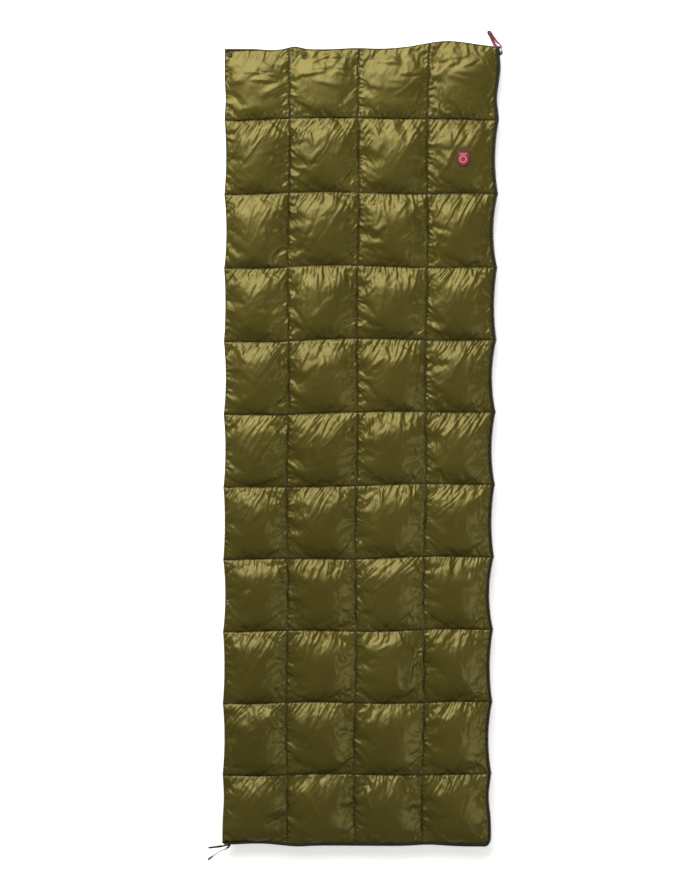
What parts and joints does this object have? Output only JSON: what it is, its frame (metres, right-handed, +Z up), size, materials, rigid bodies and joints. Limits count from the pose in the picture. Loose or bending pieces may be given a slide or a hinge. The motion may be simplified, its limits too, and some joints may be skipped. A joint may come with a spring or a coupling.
{
  "type": "camp quilt",
  "caption": "Down camp quilt folded in half and zipped along one side and the foot into a sleeping bag; it opens on its fold into a flat blanket.",
  "frame": {"origin": "middle of the underside of the folded quilt with its zip hardware, on the surface it lies on", "axes": "+X across the folded quilt from the fold to the zipped side, +Y along it from the foot to the open head end, +Z up"},
  "size_m": [0.7302, 2.1036, 0.0692],
  "materials": {
    "shell_nylon": "satin",
    "lining_nylon": "satin",
    "down": "matte",
    "hem_binding": "matte",
    "zip_tape": "matte",
    "zip_coil": "satin",
    "zip_stop": "satin",
    "press_stud": "satin",
    "badge": "matte",
    "red_ribbon": "matte",
    "pull_cord": "matte",
    "cord_end": "satin",
    "slider_metal": "satin"
  },
  "bodies": {
    "lower_half": {"lower_shell": "shell_nylon", "lower_lining": "lining_nylon", "lower_down_row_01": "down", "lower_down_row_02": "down", "lower_down_row_03": "down", "lower_down_row_04": "down", "lower_down_row_05": "down", "lower_down_row_06": "down", "lower_down_row_07": "down", "lower_down_row_08": "down", "lower_down_row_09": "down", "lower_down_row_10": "down", "lower_down_row_11": "down", "lower_head_binding": "hem_binding", "lower_zip_tape": "zip_tape", "lower_zip_coil": "zip_coil", "lower_top_stop": "zip_stop", "lower_bottom_stop": "zip_stop", "lower_press_base_fold": "press_stud", "lower_press_stud_fold": "press_stud", "lower_press_base_middle": "press_stud", "lower_press_stud_middle": "press_stud", "foot_tape_tail": "zip_tape"},
    "upper_half": {"upper_shell": "shell_nylon", "upper_lining": "lining_nylon", "upper_down_row_01": "down", "upper_down_row_02": "down", "upper_down_row_03": "down", "upper_down_row_04": "down", "upper_down_row_05": "down", "upper_down_row_06": "down", "upper_down_row_07": "down", "upper_down_row_08": "down", "upper_down_row_09": "down", "upper_down_row_10": "down", "upper_down_row_11": "down", "upper_head_binding": "hem_binding", "upper_zip_tape": "zip_tape", "upper_zip_coil": "zip_coil", "upper_top_stop": "zip_stop", "upper_bottom_stop": "zip_stop", "upper_press_cap_fold": "press_stud", "upper_press_socket_fold": "press_stud", "upper_press_cap_middle": "press_stud", "upper_press_socket_middle": "press_stud", "shield_badge": "badge"},
    "top_slider": {"top_slider_body": "slider_metal"},
    "top_pull": {"top_pull_tab": "slider_metal", "top_pull_ribbon": "red_ribbon"},
    "foot_slider": {"foot_slider_body": "slider_metal"},
    "foot_pull": {"foot_pull_tab": "slider_metal", "foot_pull_cord": "pull_cord", "foot_pull_end": "cord_end"}
  },
  "joints": [
    {"name": "fold_hinge", "type": "hinge", "parent": "lower_half", "child": "upper_half", "pos_m": [-0.32705, 0, 0.034], "axis": [0, -1, 0], "range_deg": [0, 180]},
    {"name": "top_slider_run", "type": "slide", "parent": "lower_half", "child": "top_slider", "axis": [0, -1, 0], "range_m": [0, 1.95]},
    {"name": "top_pull_swing", "type": "hinge", "parent": "top_slider", "child": "top_pull", "pos_m": [0.36085, 0.99832, 0.034], "axis": [0, 0, 1], "range_deg": [-180, 0]},
    {"name": "foot_slider_run", "type": "slide", "parent": "lower_half", "child": "foot_slider", "axis": [1, 0, 0], "range_m": [0, 0.63]},
    {"name": "foot_pull_swing", "type": "hinge", "parent": "foot_slider", "child": "foot_pull", "pos_m": [-0.31005, -1.00258, 0.034], "axis": [0, 0, 1], "range_deg": [0, 105]}
  ]
}
